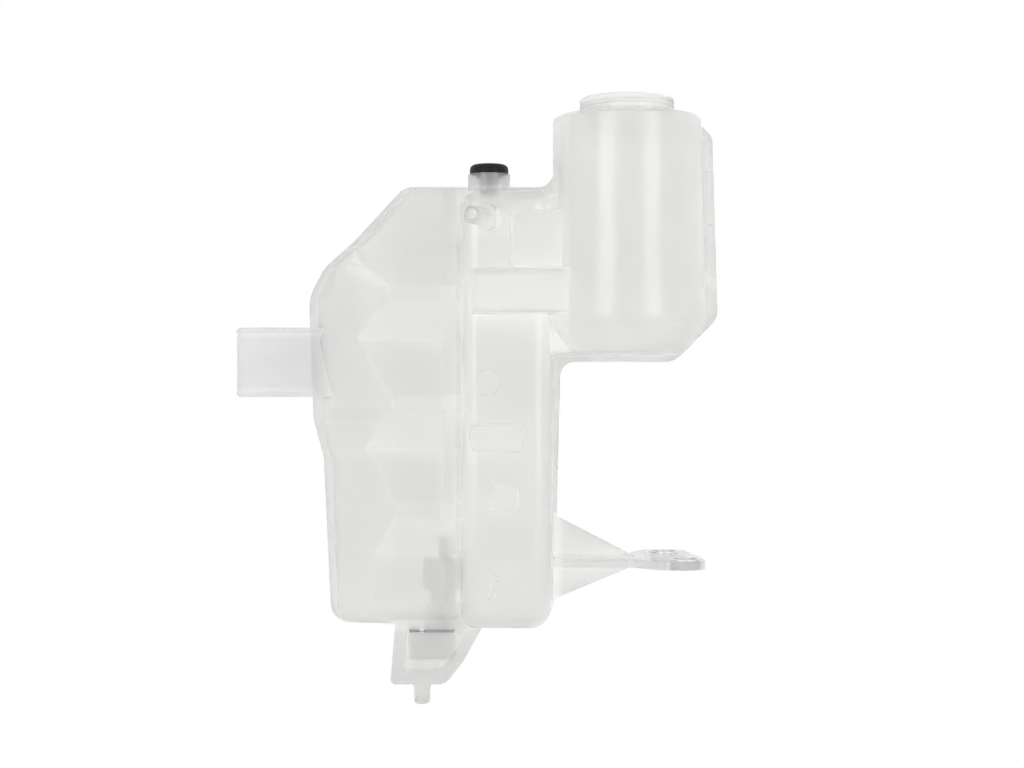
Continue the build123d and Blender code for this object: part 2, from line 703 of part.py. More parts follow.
def foot_bracket():
    """Rimmed bracket under the tank, with a slot through its back in front of the level sensor."""
    top_z = LOBE_BOTTOM_Z + FOOT_SINK
    outline = rounded_face(
        SEAM,
        [
            (FOOT_TOP_LEFT_X, top_z, 0),
            (FOOT_LEFT_X, FOOT_BOTTOM_Z, FOOT_CORNER_R),
            (FOOT_RIGHT_X, FOOT_BOTTOM_Z, FOOT_BEND_R),
            (FOOT_SIDE_X, FOOT_SIDE_Z, FOOT_BEND_R),
            (FOOT_TOP_RIGHT_X, top_z, 0),
        ],
    )
    body = extrude(outline, FOOT_PLATE, dir=FRONT)
    pocket = extrude(offset(outline, -FOOT_RIM), FOOT_PLATE + OVERRUN, dir=FRONT)
    back = extrude(outline, FOOT_BACK, dir=FRONT)
    slot_z = LOBE_BOTTOM_Z - FOOT_SLOT_DROP
    slot_place = Plane(origin=(FOOT_SLOT_X, SEAM_Y, slot_z), x_dir=(1, 0, 0), z_dir=FRONT)
    slot_outline = RectangleRounded(FOOT_SLOT_WIDTH, FOOT_SLOT_HEIGHT, FOOT_SLOT_R)
    slot = extrude(slot_place * slot_outline, FOOT_BACK + OVERRUN, both=True)
    return body - pocket + back - slot


def locating_peg():
    """Peg under the bracket, with a fillet at its shoulder and a rounded tip."""
    profile = rounded_face(
        Plane.XZ,
        [
            (0, FOOT_BOTTOM_Z + FOOT_RIM / 2, 0),
            (PEG_R + FOOT_BOTTOM_Z, FOOT_BOTTOM_Z + FOOT_RIM / 2, 0),
            (PEG_R + FOOT_BOTTOM_Z, FOOT_BOTTOM_Z, 0),
            (PEG_R, FOOT_BOTTOM_Z, FOOT_BOTTOM_Z),
            (PEG_R, -PEG_LENGTH, PEG_TIP_R),
            (0, -PEG_LENGTH, 0),
        ],
    )
    return revolve(profile, Axis.Z)


def bolt_places():
    """Centres of the two bolt holes in the arm, front and rear."""
    turn = radians(BOLT_ANGLE)
    reach = (BOLT_CIRCLE / 2 * cos(turn), BOLT_CIRCLE / 2 * sin(turn))
    front = (ARM_CENTRE_X + reach[0], ARM_CENTRE_Y + reach[1])
    rear = (ARM_CENTRE_X - reach[0], ARM_CENTRE_Y - reach[1])
    return front, rear


def arm():
    """Level plate with two eyes, stiffened by an upright web."""
    root_x = COLUMN_RIGHT_X - LIP - WALL
    (front_x, front_y), (rear_x, rear_y) = bolt_places()
    plan = rounded_face(
        Plane.XY.offset(ARM_TOP_Z - ARM_PLATE),
        [
            (root_x, ARM_Y - ARM_WIDTH / 2, 0),
            (ARM_NECK_X, ARM_Y - ARM_WIDTH / 2, ARM_FILLET),
            (front_x - EYE_R, front_y - EYE_R, ARM_FILLET),
            (front_x + EYE_R, front_y - EYE_R, EYE_CORNER_R),
            (rear_x + EYE_R, rear_y + EYE_R, EYE_CORNER_R),
            (rear_x - EYE_R, rear_y + EYE_R, ARM_FILLET),
            (ARM_NECK_X, ARM_Y + ARM_WIDTH / 2, ARM_FILLET),
            (root_x, ARM_Y + ARM_WIDTH / 2, 0),
        ],
    )
    plate = extrude(plan, ARM_PLATE, dir=UP)
    wall_x = COLUMN_RIGHT_X - LIP - tan(radians(COLUMN_DRAFT)) * ARM_DEPTH
    web_top_z = ARM_TOP_Z + WEB_RISE
    web_bottom_z = ARM_TOP_Z - WEB_DROP
    web = rounded_face(
        Plane(origin=(0, ARM_Y + WEB / 2, 0), x_dir=(1, 0, 0), z_dir=FRONT),
        [
            (root_x, web_top_z + 2 * WEB_FILLET, 0),
            (wall_x, web_top_z + 2 * WEB_FILLET, 0),
            (wall_x, web_top_z, WEB_FILLET),
            (WEB_END_X, ARM_TOP_Z, 0),
            (WEB_END_X, ARM_TOP_Z - ARM_PLATE, 0),
            (wall_x, web_bottom_z, WEB_FILLET),
            (root_x - WALL / 2, web_bottom_z - WEB_FILLET, 0),
        ],
    )
    return plate + extrude(web, WEB, dir=FRONT)


def bush_holes():
    bottom = ARM_TOP_Z - ARM_PLATE - OVERRUN
    top = ARM_TOP_Z + OVERRUN
    return [upright(x, y, bottom, top, BUSH_R + BUSH_CLEARANCE) for x, y in bolt_places()]


def front_shell():
    """Front half of the tank with all that is moulded on it."""
    flange = extrude(seam_outline(0), FLANGE, dir=FRONT)
    body = tank_form(0) + flange + seam_ribs() + disc_boss() + slant_rib() + nipple() + tongue()
    body = body + foot_bracket() + locating_peg() + arm()
    shell = body - tank_form(WALL)
    shell = shell + bleed_boss()
    return shell - bleed_bore() - filler_hole() - nipple_bore() - bush_holes()


def rear_form(inset):
    """Outer form of the rear half, or with an inset the space inside it."""
    body = extrude(seam_outline(LIP + inset), REAR_DEPTH - inset, dir=REAR)
    return fillet(rear_edges(body), REAR_EDGE_R - inset)


def rear_beads():
    """Level stiffening beads on the back of the rear half."""
    plane = Plane(origin=(0, SEAM_Y + REAR_DEPTH - WALL / 2, 0), x_dir=(1, 0, 0), z_dir=FRONT)
    left = (LOBE_LEFT_X + COLUMN_RIGHT_X) / 2 - BEAD_LENGTH / 2
    beads = []
    for z in ridge_heights():
        bottom = z - BEAD_WIDTH / 2
        corners = rectangle_corners(left, bottom, left + BEAD_LENGTH, bottom + BEAD_WIDTH, BEAD_END_R)
        bead = extrude(rounded_face(plane, corners), BEAD_RISE + WALL / 2, dir=REAR)
        beads.append(fillet(rear_edges(bead), BEAD_EDGE_R))
    return beads


def baffle():
    """Upright inner wall that slows the coolant between the lobe and the column."""
    top = TOP_Z - BAFFLE_DROP
    bottom = BOTTOM_Z + BAFFLE_RISE
    depth = REAR_DEPTH - WALL / 2
    middle = (COLUMN_LEFT_X, SEAM_Y + depth / 2, (top + bottom) / 2)
    return Pos(middle) * Box(BAFFLE, depth, top - bottom)


def outlet_plane(sink):
    """Plane sunk below the back of the rear half, on the axis of the outlet."""
    origin = (OUTLET_X, SEAM_Y + REAR_DEPTH - sink, BOTTOM_Z + OUTLET_RISE)
    return Plane(origin=origin, x_dir=(1, 0, 0), z_dir=REAR)


def outlet():
    tube = extrude(outlet_plane(WALL / 2) * Circle(OUTLET_R), OUTLET_LENGTH + WALL / 2)
    return chamfer(rear_edges(tube), OUTLET_CHAMFER)


def outlet_bore():
    sink = 2 * WALL
    return extrude(outlet_plane(sink) * Circle(OUTLET_BORE_R), sink + OUTLET_LENGTH + OVERRUN)


def sensor_boss():
    top_z = SENSOR_BOSS_FOOT_Z + SENSOR_BOSS
    return upright(SENSOR_X, SENSOR_Y, SENSOR_BOSS_FOOT_Z, top_z, SENSOR_BOSS_R)


def sensor_bore():
    bottom = SENSOR_BOSS_FOOT_Z - OVERRUN
    top = SENSOR_BOSS_FOOT_Z + SENSOR_BOSS + OVERRUN
    return upright(SENSOR_X, SENSOR_Y, bottom, top, SENSOR_R + SENSOR_CLEARANCE)


def rear_shell():
    """Rear half of the tank with the outlet and the sensor boss."""
    flange = extrude(seam_outline(0), FLANGE, dir=REAR)
    body = rear_form(0) + flange + rear_beads() + outlet()
    shell = body - rear_form(WALL)
    return shell + baffle() + sensor_boss() - sensor_bore() - outlet_bore()


def bleed_screw():
    """Screw with a thick round head, a shank and a groove for its seal."""
    axis = Axis((BLEED_X, BLEED_Y, 0), UP)
    plane = Plane(origin=(BLEED_X, BLEED_Y, 0), x_dir=(1, 0, 0), z_dir=FRONT)
    under_z = BLEED_BOSS_TOP_Z
    profile = rounded_face(
        plane,
        [
            (0, under_z - BLEED_SHANK, 0),
            (BLEED_SHANK_R, under_z - BLEED_SHANK, BLEED_CLEARANCE),
            (BLEED_SHANK_R, under_z, 0),
            (BLEED_HEAD_R, under_z, BLEED_HEAD_FOOT_R),
            (BLEED_HEAD_R, under_z + BLEED_HEAD, BLEED_HEAD_EDGE_R),
            (0, under_z + BLEED_HEAD, 0),
        ],
    )
    body = revolve(profile, axis)
    slot_z = under_z + BLEED_HEAD
    slot = Pos(BLEED_X, BLEED_Y, slot_z) * Box(2 * BLEED_HEAD_R, BLEED_SLOT_WIDTH, 2 * BLEED_SLOT_DEPTH)
    return body - slot


def ring(x, y, middle_z, inner_r, outer_r, gap):
    """Round seal that fills the room between two radii, but for a gap."""
    section_r = (outer_r - inner_r) / 2 - gap
    return Pos(x, y, middle_z) * Torus((outer_r + inner_r) / 2, section_r)


def bleed_seal():
    middle_z = BLEED_BOSS_TOP_Z - BLEED_SEAT / 2
    return ring(BLEED_X, BLEED_Y, middle_z, BLEED_SHANK_R, BLEED_SEAT_R, BLEED_SEAL_GAP)


def bush(place):
    x, y = place
    bottom = ARM_TOP_Z - ARM_PLATE - BUSH_STAND
    top = ARM_TOP_Z + BUSH_STAND
    bore = upright(x, y, bottom - OVERRUN, top + OVERRUN, BUSH_BORE_R)
    return upright(x, y, bottom, top, BUSH_R) - bore


def sensor_axis_plane():
    return Plane(origin=(SENSOR_X, SENSOR_Y, 0), x_dir=(1, 0, 0), z_dir=FRONT)


def plug_top_z():
    return SENSOR_BOSS_FOOT_Z + SENSOR_PLUG


def clip_z():
    """Underside of the clip that stops the float."""
    return plug_top_z() + FLOAT_HEIGHT + FLOAT_TRAVEL + 2 * FLOAT_STOP_GAP


def seal_z():
    return SENSOR_BOSS_FOOT_Z + SENSOR_BOSS / 2


def sensor_seal_root_r():
    return SENSOR_R + SENSOR_CLEARANCE - 2 * SENSOR_SEAL_R


def shroud_plane():
    """Mouth of the connector, facing left."""
    z = SENSOR_BOSS_FOOT_Z - SENSOR_FLANGE - SHROUD_HEIGHT / 2
    return Plane(origin=(SENSOR_X - SHROUD_REACH, SENSOR_Y, z), x_dir=REAR, z_dir=LEFT)


def latch():
    """Catch for the cable plug on top of the connector, at its mouth."""
    plane = shroud_plane()
    middle_z = plane.origin.Z + SHROUD_HEIGHT / 2
    middle = (plane.origin.X + LATCH_LENGTH / 2, SENSOR_Y, middle_z)
    return Pos(middle) * Box(LATCH_LENGTH, LATCH_WIDTH, 2 * LATCH_RISE)


def pin_offsets():
    return (-PIN_SPREAD / 2, PIN_SPREAD / 2)


def sensor_housing():
    """Plug with a flange, a hollow stem and a connector that faces left."""
    foot_z = SENSOR_BOSS_FOOT_Z
    stem_top = clip_z() + CLIP_THICK + STEM_TIP
    groove = SENSOR_SEAL_R
    profile = rounded_face(
        sensor_axis_plane(),
        [
            (0, foot_z - SENSOR_FLANGE, 0),
            (SENSOR_FLANGE_R, foot_z - SENSOR_FLANGE, 0),
            (SENSOR_FLANGE_R, foot_z, 0),
            (SENSOR_R, foot_z, 0),
            (SENSOR_R, seal_z() - groove, 0),
            (sensor_seal_root_r(), seal_z() - groove, 0),
            (sensor_seal_root_r(), seal_z() + groove, 0),
            (SENSOR_R, seal_z() + groove, 0),
            (SENSOR_R, plug_top_z(), 0),
            (STEM_R, plug_top_z(), 0),
            (STEM_R, stem_top, STEM_TIP / 2),
            (0, stem_top, 0),
        ],
    )
    body = revolve(profile, Axis((SENSOR_X, SENSOR_Y, 0), UP))
    mouth = shroud_plane()
    outside = RectangleRounded(SHROUD_WIDTH, SHROUD_HEIGHT, SHROUD_CORNER_R)
    shroud = extrude(mouth * outside, -SHROUD_LENGTH)
    socket_width = SHROUD_WIDTH - 2 * SHROUD_WALL
    socket_height = SHROUD_HEIGHT - 2 * SHROUD_WALL
    socket = extrude(mouth * Rectangle(socket_width, socket_height), -SOCKET_DEPTH)
    bore_top = stem_top - STEM_TIP
    stem_bore = upright(SENSOR_X, SENSOR_Y, plug_top_z() - SENSOR_PLUG / 2, bore_top, STEM_BORE_R)
    return body + shroud + latch() - socket - stem_bore - sensor_pins()


def sensor_pins():
    """Two flat contacts in the connector."""
    plane = shroud_plane().offset(PIN_STAND - SOCKET_DEPTH)
    blade = Rectangle(PIN_WIDTH, PIN_THICK)
    blades = [extrude(plane * Pos(offset_x, 0) * blade, -PIN_LENGTH) for offset_x in pin_offsets()]
    return blades[0] + blades[1]


def sensor_seal():
    bore_r = SENSOR_R + SENSOR_CLEARANCE
    return ring(SENSOR_X, SENSOR_Y, seal_z(), sensor_seal_root_r(), bore_r, SENSOR_SEAL_GAP)


def float_bottom_z():
    return plug_top_z() + FLOAT_STOP_GAP


def magnet_pocket(clearance):
    """Ring pocket in the top of the float, or the magnet that fills it."""
    top = float_bottom_z() + FLOAT_HEIGHT
    inner_r = STEM_R + FLOAT_CLEARANCE + MAGNET_WALL
    body = upright(SENSOR_X, SENSOR_Y, top - MAGNET_HEIGHT, top, MAGNET_R + clearance)
    return body - upright(SENSOR_X, SENSOR_Y, top - MAGNET_HEIGHT, top, inner_r - clearance)


def sensor_float():
    """Float that slides on the stem."""
    bottom = float_bottom_z()
    body = upright(SENSOR_X, SENSOR_Y, bottom, bottom + FLOAT_HEIGHT, FLOAT_R)
    rims = body.faces().sort_by(Axis.Z)
    body = fillet(rims[0].edges() + rims[-1].edges(), FLOAT_EDGE_R)
    top = bottom + FLOAT_HEIGHT + OVERRUN
    bore = upright(SENSOR_X, SENSOR_Y, bottom - OVERRUN, top, STEM_R + FLOAT_CLEARANCE)
    return body - bore - magnet_pocket(MAGNET_CLEARANCE)


def float_clip():
    """Split washer at the top of the stem."""
    body = upright(SENSOR_X, SENSOR_Y, clip_z(), clip_z() + CLIP_THICK, CLIP_R)
    body = body - upright(SENSOR_X, SENSOR_Y, clip_z(), clip_z() + CLIP_THICK, STEM_R + CLIP_GRIP)
    gap = Pos(SENSOR_X + CLIP_R, SENSOR_Y, clip_z()) * Box(2 * CLIP_R, STEM_R, 4 * CLIP_THICK)
    return body - gap


def reed_switch():
    """Glass reed in the bore of the stem, with a lead at each end."""
    bottom = plug_top_z() - SENSOR_PLUG / 2
    top = clip_z() + CLIP_THICK
    middle = (bottom + top) / 2
    glass = upright(SENSOR_X, SENSOR_Y, middle - REED_LENGTH / 2, middle + REED_LENGTH / 2, REED_R)
    rims = glass.faces().sort_by(Axis.Z)
    glass = fillet(rims[0].edges() + rims[-1].edges(), REED_TIP_R)
    return glass + upright(SENSOR_X, SENSOR_Y, bottom, top, REED_LEAD_R)


def write(name, shape):
    export_step(shape, f"parts/{name}.step")


front_place, rear_place = bolt_places()
write("front_shell", front_shell())
write("rear_shell", rear_shell())
write("filler_neck", filler_neck())
write("bleed_screw", bleed_screw())
write("bleed_seal", bleed_seal())
write("bracket_bush_front", bush(front_place))
write("bracket_bush_rear", bush(rear_place))
write("sensor_housing", sensor_housing())
write("sensor_seal", sensor_seal())
write("sensor_float", sensor_float())
write("float_magnet", magnet_pocket(0))
write("float_clip", float_clip())
write("reed_switch", reed_switch())
write("sensor_pins", sensor_pins())
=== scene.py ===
"""Looks of a milky plastic coolant expansion tank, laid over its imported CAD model."""

import math

import bmesh
import bpy
from bpy.props import FloatProperty, FloatVectorProperty, IntProperty, PointerProperty
from mathutils import Matrix, Vector


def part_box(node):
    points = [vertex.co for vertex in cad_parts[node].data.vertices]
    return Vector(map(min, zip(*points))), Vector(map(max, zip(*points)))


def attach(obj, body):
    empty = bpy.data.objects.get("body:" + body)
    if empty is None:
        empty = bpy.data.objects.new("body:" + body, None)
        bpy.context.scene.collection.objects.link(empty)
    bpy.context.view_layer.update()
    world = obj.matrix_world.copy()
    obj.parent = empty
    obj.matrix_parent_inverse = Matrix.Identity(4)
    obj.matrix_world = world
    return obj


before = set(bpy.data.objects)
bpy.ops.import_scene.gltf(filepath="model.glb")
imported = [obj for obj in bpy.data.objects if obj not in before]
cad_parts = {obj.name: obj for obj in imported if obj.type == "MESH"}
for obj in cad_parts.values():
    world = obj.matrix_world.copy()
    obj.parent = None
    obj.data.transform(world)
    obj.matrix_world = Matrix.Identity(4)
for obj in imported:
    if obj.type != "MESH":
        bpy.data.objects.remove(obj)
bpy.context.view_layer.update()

bl_info = {
    "name": "Coolant expansion tank",
    "version": (1, 0, 0),
    "blender": (4, 5, 0),
    "location": "3D View > Sidebar > Tank",
    "description": "Finishes a coolant expansion tank and sets it up for a studio picture",
    "category": "Object",
}


# Places in the plastic with painted light. A paler colour on the ducts and pads is a painted
# highlight. Darker colours on the hose nipple, the foot, the arm and web, the bleed stub and the
# tongue are painted shade. Each gives the name of its colour among the settings, how softly it
# ends, and its low and high end along the axes that bound it.
PAINTED_LIGHT_PLACES = {
    "ducts and pads": ("painted_highlight_and_neck_cloud", 0.001, {"X": (None, 0.086), "Y": (None, -0.0502)}),
    "hose nipple": (
        "plate_painted_shade", 0.001, {"X": (None, 0.045), "Y": (None, -0.0502), "Z": (0.264, None)},
    ),
    "rim of the foot": ("plate_painted_shade", 0.002, {"Y": (None, 0.004), "Z": (None, 0.037)}),
    "floor of the foot": ("plate_painted_shade", 0.004, {"Y": (None, 0.020), "Z": (None, 0.020)}),
    "arm and web": ("plate_painted_shade", 0.005, {"X": (0.079, None), "Z": (None, 0.15)}),
    "bleed stub": (
        "stub_painted_shade", 0.002, {"X": (0.022, 0.06), "Y": (None, 0.0), "Z": (0.295, None)},
    ),
    "tongue": ("tongue_painted_shade", 0.010, {"X": (None, -0.054), "Z": (0.170, 0.218)}),
    "root of the tongue": (
        "tongue_painted_shade", 0.0015, {"X": (None, -0.045), "Y": (-0.0045, 0.004), "Z": (0.172, 0.216)},
    ),
}

# The neck's index is low, as its cloudy wall scatters light more than it bends it.
PLASTIC_IOR = 1.49
NECK_IOR = 1.05

# The part of a noise's range that most of the surface lies in.
NOISE_LOW = 0.3
NOISE_HIGH = 0.7

# Section of a thread: half its foot as a share of the pitch, its crest as a share of the
# foot, and the depth of the foot in the wall as a share of the height.
THREAD_HALF_FOOT = 0.36
THREAD_CREST = 0.35
THREAD_SINK = 0.5

# Bare wall left above and below the threads, in metres.
NECK_BARE_BOTTOM = 0.0004
NECK_BARE_TOP = 0.0008
BLEED_BARE_BOTTOM = 0.0006

# Edges of new pieces that bend more than this stay sharp.
CREASE_ANGLE = math.radians(40)

# Floor: half its width, its middle, and its darker tone as a share of its colour.
FLOOR_REACH = 0.8
FLOOR_MIDDLE = (0.05, -0.35)
FLOOR_SHADE = 0.97

# Camera: width of the sensor in millimetres and the far end of its view in metres.
SENSOR_WIDTH = 36.0
VIEW_END = 20.0

# Turns a lamp, which shines down, or a camera, which looks down, to the rear.
UPRIGHT = math.radians(90)

WHITE = (1.0, 1.0, 1.0, 1.0)


class TankPlasticSettings(bpy.types.PropertyGroup):
    """Milky plastic of the tank."""

    colour: FloatVectorProperty(
        name="Colour",
        description="Colour of the milky plastic",
        subtype="COLOR",
        size=3,
        min=0.0,
        max=1.0,
        default=(0.905, 0.905, 0.897),
    )
    cloud: FloatVectorProperty(
        name="Cloud colour",
        description="Colour of the thicker, cloudy places in the plastic",
        subtype="COLOR",
        size=3,
        min=0.0,
        max=1.0,
        default=(0.885, 0.885, 0.875),
    )
    gloss_low: FloatProperty(
        name="Smooth places",
        description="Roughness where the mould was polished",
        subtype="FACTOR",
        min=0.0,
        max=1.0,
        default=0.15,
    )
    gloss_high: FloatProperty(
        name="Dull places",
        description="Roughness where the mould was dull",
        subtype="FACTOR",
        min=0.0,
        max=1.0,
        default=0.22,
    )
    body: FloatProperty(
        name="Body",
        description="How much each face of a wall hides what is behind it",
        subtype="FACTOR",
        min=0.0,
        max=1.0,
        default=0.5,
    )
    neck_body: FloatProperty(
        name="Neck body",
        description="How much each face of the neck hides what is behind it",
        subtype="FACTOR",
        min=0.0,
        max=1.0,
        default=0.8,
    )
    neck_clear: FloatProperty(
        name="Neck clearness",
        description="How much of the light the narrow neck lets through, blurred",
        subtype="FACTOR",
        min=0.0,
        max=1.0,
        default=0.63,
    )
    glow: FloatProperty(
        name="Glow",
        description="Share of the light that spreads inside the wall before it comes out",
        subtype="FACTOR",
        min=0.0,
        max=1.0,
        default=0.7,
    )
    scatter: FloatProperty(
        name="Scatter depth",
        description="How far light spreads inside the wall",
        subtype="DISTANCE",
        unit="LENGTH",
        min=0.0,
        default=0.025,
    )
    # Painted highlight: this paler colour on the ducts and pads stands in for the light they catch.
    # The neck uses it as the pale tone of its random clouds.
    painted_highlight_and_neck_cloud: FloatVectorProperty(
        name="Raised faces",
        description="Colour of the ducts and pads on the column, and of pale places in the neck",
        subtype="COLOR",
        size=3,
        min=0.0,
        max=1.0,
        default=(0.955, 0.955, 0.947),
    )
    # Painted shade: the single-plate tongue and its root are darkened to stand in for the light the
    # thin plate doesn't gather.
    tongue_painted_shade: FloatVectorProperty(
        name="Tongue colour",
        description="Colour of the side tongue, a single plate that holds less light",
        subtype="COLOR",
        size=3,
        min=0.0,
        max=1.0,
        default=(0.66, 0.66, 0.667),
    )
    # Painted shade: the foot's rim and floor, the arm and web and the hose nipple are darkened to
    # stand in for the light these thin plates don't gather.
    plate_painted_shade: FloatVectorProperty(
        name="Plate colour",
        description="Colour of the foot, the arm and the hose nipple, which hold less light",
        subtype="COLOR",
        size=3,
        min=0.0,
        max=1.0,
        default=(0.77, 0.77, 0.76),
    )
    # Painted shade: the stub is darkened for the shade of the black cap above it and of the dark
    # shank inside it.
    stub_painted_shade: FloatVectorProperty(
        name="Stub colour",
        description="Colour of the stub that holds the black bleed screw",
        subtype="COLOR",
        size=3,
        min=0.0,
        max=1.0,
        default=(0.72, 0.725, 0.725),
    )


class ThreadSettings(bpy.types.PropertyGroup):
    """Screw threads of the neck and of the bleed screw."""

    neck_pitch: FloatProperty(
        name="Neck pitch",
        description="Rise of the neck's thread in one turn",
        subtype="DISTANCE",
        unit="LENGTH",
        default=0.0021,
    )
    neck_height: FloatProperty(
        name="Neck ridge",
        description="How far the neck's thread stands out",
        subtype="DISTANCE",
        unit="LENGTH",
        default=0.0003,
    )
    bleed_pitch: FloatProperty(
        name="Bleed screw pitch",
        description="Rise of the bleed screw's thread in one turn",
        subtype="DISTANCE",
        unit="LENGTH",
        default=0.002,
    )
    bleed_height: FloatProperty(
        name="Bleed screw ridge",
        description="How far the bleed screw's thread stands out",
        subtype="DISTANCE",
        unit="LENGTH",
        default=0.0002,
    )
    bleed_radius: FloatProperty(
        name="Bleed screw core",
        description="Radius of the bleed screw's shank",
        subtype="DISTANCE",
        unit="LENGTH",
        default=0.005,
    )
    bleed_length: FloatProperty(
        name="Bleed screw thread length",
        description="How far the bleed screw's thread reaches up its shank",
        subtype="DISTANCE",
        unit="LENGTH",
        default=0.011,
    )
    steps: IntProperty(
        name="Steps",
        description="Faces in one turn of a thread",
        min=12,
        default=72,
    )


class StageSettings(bpy.types.PropertyGroup):
    """Floor, light and camera."""

    floor_z: FloatProperty(
        name="Floor height",
        description="Height of the floor, below the hanging tank",
        subtype="DISTANCE",
        unit="LENGTH",
        default=-0.16,
    )
    floor_colour: FloatVectorProperty(
        name="Floor colour",
        description="Colour of the plain floor",
        subtype="COLOR",
        size=3,
        min=0.0,
        max=1.0,
        default=(0.92, 0.92, 0.92),
    )
    rear_level: FloatProperty(
        name="Rear light",
        description="Strength of the white light from behind",
        min=0.0,
        default=1.13,
    )
    front_level: FloatProperty(
        name="Front light",
        description="Strength of the white light from the camera's side",
        min=0.0,
        default=0.03,
    )
    strip_level: FloatProperty(
        name="Strip light",
        description="Power of each upright strip light",
        subtype="POWER",
        unit="POWER",
        min=0.0,
        default=1.85,
    )
    strip_angle: FloatProperty(
        name="Strip angle",
        description="How far each strip light stands to the side",
        subtype="ANGLE",
        unit="ROTATION",
        default=math.radians(34),
    )
    strip_size: FloatVectorProperty(
        name="Strip size",
        description="Width and height of each strip light",
        subtype="XYZ_LENGTH",
        unit="LENGTH",
        size=2,
        default=(0.44, 0.6),
    )
    strip_reach: FloatProperty(
        name="Strip distance",
        description="Distance of each strip light from the filler chamber",
        subtype="DISTANCE",
        unit="LENGTH",
        default=1.0,
    )
    strip_z: FloatProperty(
        name="Strip height",
        description="Height of the middle of each strip light",
        subtype="DISTANCE",
        unit="LENGTH",
        default=0.33,
    )
    camera_place: FloatVectorProperty(
        name="Camera",
        description="Place of the camera, which looks straight to the rear",
        subtype="XYZ_LENGTH",
        unit="LENGTH",
        size=3,
        default=(0.0534, -0.981, 0.1812),
    )
    lens: FloatProperty(
        name="Lens",
        description="Focal length of the camera in millimetres",
        min=1.0,
        default=58.0,
    )


def new_material(name):
    """Material with a cleared tree, its output and its main shader."""
    material = bpy.data.materials.new(name)
    material.use_nodes = True
    tree = material.node_tree
    tree.nodes.clear()
    output = tree.nodes.new("ShaderNodeOutputMaterial")
    shader = tree.nodes.new("ShaderNodeBsdfPrincipled")
    tree.links.new(shader.outputs["BSDF"], output.inputs["Surface"])
    return material, tree, shader


def set_inputs(node, values):
    """Fixed values on some of a node's inputs."""
    for name, value in values.items():
        node.inputs[name].default_value = value


def coat(tree, shader, colour, roughness):
    """Colour and roughness of a surface, each from a node."""
    tree.links.new(colour, shader.inputs["Base Color"])
    tree.links.new(roughness, shader.inputs["Roughness"])


def surface_place(tree):
    """Coordinates that stay with the object."""
    return tree.nodes.new("ShaderNodeTexCoord").outputs["Object"]


def grain(tree, place, scale, detail, stretch=(1.0, 1.0, 1.0)):
    """Noise over the surface, with its own stretch along each axis."""
    mapping = tree.nodes.new("ShaderNodeMapping")
    set_inputs(mapping, {"Scale": stretch})
    noise = tree.nodes.new("ShaderNodeTexNoise")
    set_inputs(noise, {"Scale": scale, "Detail": detail})
    tree.links.new(place, mapping.inputs["Vector"])
    tree.links.new(mapping.outputs["Vector"], noise.inputs["Vector"])
    return noise.outputs["Fac"]


def spread(tree, value, low, high):
    """Value between low and high, from the middle of a noise."""
    node = tree.nodes.new("ShaderNodeMapRange")
    set_inputs(node, {"From Min": NOISE_LOW, "From Max": NOISE_HIGH, "To Min": low, "To Max": high})
    tree.links.new(value, node.inputs["Value"])
    return node.outputs["Result"]


def two_tone(tree, value, low, high):
    """Colour between two tones, from the middle of a noise."""
    ramp = tree.nodes.new("ShaderNodeValToRGB")
    first, last = ramp.color_ramp.elements
    first.position = NOISE_LOW
    first.color = (*low, 1.0)
    last.position = NOISE_HIGH
    last.color = (*high, 1.0)
    tree.links.new(value, ramp.inputs["Fac"])
    return ramp.outputs["Color"]


def largest(tree, values):
    """Largest of some values."""
    result = values[0]
    for value in values[1:]:
        node = tree.nodes.new("ShaderNodeMath")
        node.operation = "MAXIMUM"
        tree.links.new(result, node.inputs[0])
        tree.links.new(value, node.inputs[1])
        result = node.outputs["Value"]
    return result


def past_edge(tree, place, axis, start, end):
    """Value that goes from 0 to 1 between two places along an axis."""
    axes = tree.nodes.new("ShaderNodeSeparateXYZ")
    tree.links.new(place, axes.inputs["Vector"])
    node = tree.nodes.new("ShaderNodeMapRange")
    set_inputs(node, {"From Min": start, "From Max": end})
    tree.links.new(axes.outputs[axis], node.inputs["Value"])
    return node.outputs["Result"]


def outside(tree, place, soft, bounds):
    """Value that is 0 well inside some bounds along the axes and 1 outside them."""
    values = []
    for axis, (low, high) in bounds.items():
        if low is not None:
            values.append(past_edge(tree, place, axis, low + soft, low))
        if high is not None:
            values.append(past_edge(tree, place, axis, high - soft, high))
    return largest(tree, values)


def blend_tones(tree, share, colour, other):
    """Fixed colour that gives way to another one."""
    node = tree.nodes.new("ShaderNodeMix")
    node.data_type = "RGBA"
    node.inputs["A"].default_value = (*colour, 1.0)
    tree.links.new(share, node.inputs["Factor"])
    tree.links.new(other, node.inputs["B"])
    return node.outputs["Result"]


def bump(tree, shader, value, strength, distance):
    """Small relief on the surface."""
    node = tree.nodes.new("ShaderNodeBump")
    set_inputs(node, {"Strength": strength, "Distance": distance})
    tree.links.new(value, node.inputs["Height"])
    tree.links.new(node.outputs["Normal"], shader.inputs["Normal"])


def clouds(tree, place, low, high):
    """Wide, faint clouds in the colour of the milky plastic."""
    return two_tone(tree, grain(tree, place, scale=22.0, detail=3.0), low, high)


def dull_places(tree, place, low, high):
    """Roughness that varies as the polish of the mould did."""
    return spread(tree, grain(tree, place, scale=45.0, detail=4.0), low, high)


def scatter_light(shader, settings):
    """Light that spreads inside the milky wall, under a glossy skin."""
    shader.subsurface_method = "BURLEY"
    set_inputs(shader, {
        "Specular IOR Level": 1.0,
        "Subsurface Weight": settings.glow,
        "Subsurface Radius": (1.0, 1.0, 0.95),
        "Subsurface Scale": settings.scatter,
    })


